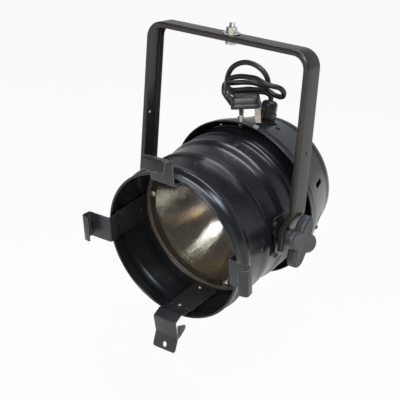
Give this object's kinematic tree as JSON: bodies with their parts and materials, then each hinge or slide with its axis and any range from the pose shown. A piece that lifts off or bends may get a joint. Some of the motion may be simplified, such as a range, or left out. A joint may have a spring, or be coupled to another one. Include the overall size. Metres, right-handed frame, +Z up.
{
  "type": "par can",
  "caption": "Stage lantern: spun can with colour-frame clips and mesh guard, vented rear bell, tilting in a channel yoke with star knobs, and a tied-up mains cord with its plug.",
  "frame": {"origin": "centre of the hanging hole, on the yoke's top face", "axes": "+X from leg to leg along the tilt axis, -Y the way the lamp faces, +Z up"},
  "size_m": [0.2854, 0.3307, 0.4379],
  "materials": {
    "black_paint": "satin black paint",
    "yoke_paint": "semi-gloss black paint",
    "clip_paint": "satin dark grey paint",
    "zinc": "bright zinc plate",
    "wire_mesh": "woven wire, heat tinted",
    "glass": "clear",
    "reflector": "mirror bright inside",
    "ceramic": "unglazed ceramic",
    "knob_plastic": "matt",
    "black_plastic": "satin",
    "brass": "machined",
    "cord_rubber": "satin",
    "fibre": "pressed fibre",
    "lead_sleeve": "woven glass sleeve"
  },
  "bodies": {
    "yoke": {"yoke": "yoke_paint", "hanging_bolt": "zinc", "hanging_nut": "zinc", "hanging_washer": "zinc", "friction_washer_left": "fibre", "friction_washer_right": "fibre", "knob_washer_left": "zinc", "knob_washer_right": "zinc"},
    "head": {"nose_tube": "black_paint", "rear_bell": "black_paint", "pivot_bracket_left": "black_paint", "pivot_bracket_right": "black_paint", "bell_bracket_1": "black_paint", "bell_bracket_2": "black_paint", "bell_bracket_3": "black_paint", "lamp_seat": "black_paint", "guard_rim": "black_paint", "skirt_screw_1": "black_paint", "skirt_screw_2": "black_paint", "skirt_screw_3": "black_paint", "frame_clip_top": "clip_paint", "frame_clip_left": "clip_paint", "frame_clip_right": "clip_paint", "latch_leg": "clip_paint", "pivot_stud_left": "zinc", "pivot_stud_right": "zinc", "guard_screw_1": "zinc", "guard_screw_2": "zinc", "guard_screw_3": "zinc", "lamp_spring_ring": "zinc", "earth_screw": "zinc", "gland_locknut": "zinc", "mesh_guard": "wire_mesh", "lamp_lens": "glass", "lamp_capsule": "glass", "lamp_reflector": "reflector", "lamp_base": "ceramic", "lamp_socket": "ceramic", "terminal_block": "ceramic", "gland_neck": "black_plastic", "gland_nut": "black_plastic", "gland_cap": "black_plastic", "plug_body": "black_plastic", "plug_live_pin": "brass", "plug_neutral_pin": "brass", "plug_earth_pin": "brass", "cord": "cord_rubber", "inner_cord": "cord_rubber", "lamp_lead_left": "lead_sleeve", "lamp_lead_right": "lead_sleeve"},
    "knob_left": {"knob_left": "knob_plastic"},
    "knob_right": {"knob_right": "knob_plastic"},
    "latch": {"frame_latch": "clip_paint"}
  },
  "joints": [
    {"name": "head_tilt", "type": "hinge", "parent": "yoke", "child": "head", "pos_m": [0, 0, -0.253], "axis": [1, 0, 0], "range_deg": [-79, 79]},
    {"name": "knob_left_turn", "type": "hinge", "parent": "yoke", "child": "knob_left", "pos_m": [-0.13, 0, -0.253], "axis": [-1, 0, 0], "continuous": true},
    {"name": "knob_right_turn", "type": "hinge", "parent": "yoke", "child": "knob_right", "pos_m": [0.13, 0, -0.253], "axis": [1, 0, 0], "continuous": true},
    {"name": "latch_spring", "type": "hinge", "parent": "head", "child": "latch", "pos_m": [0, -0.07179, -0.37003], "axis": [1, 0, 0], "range_deg": [0, 7], "stiffness_Nm_per_rad": 3}
  ]
}
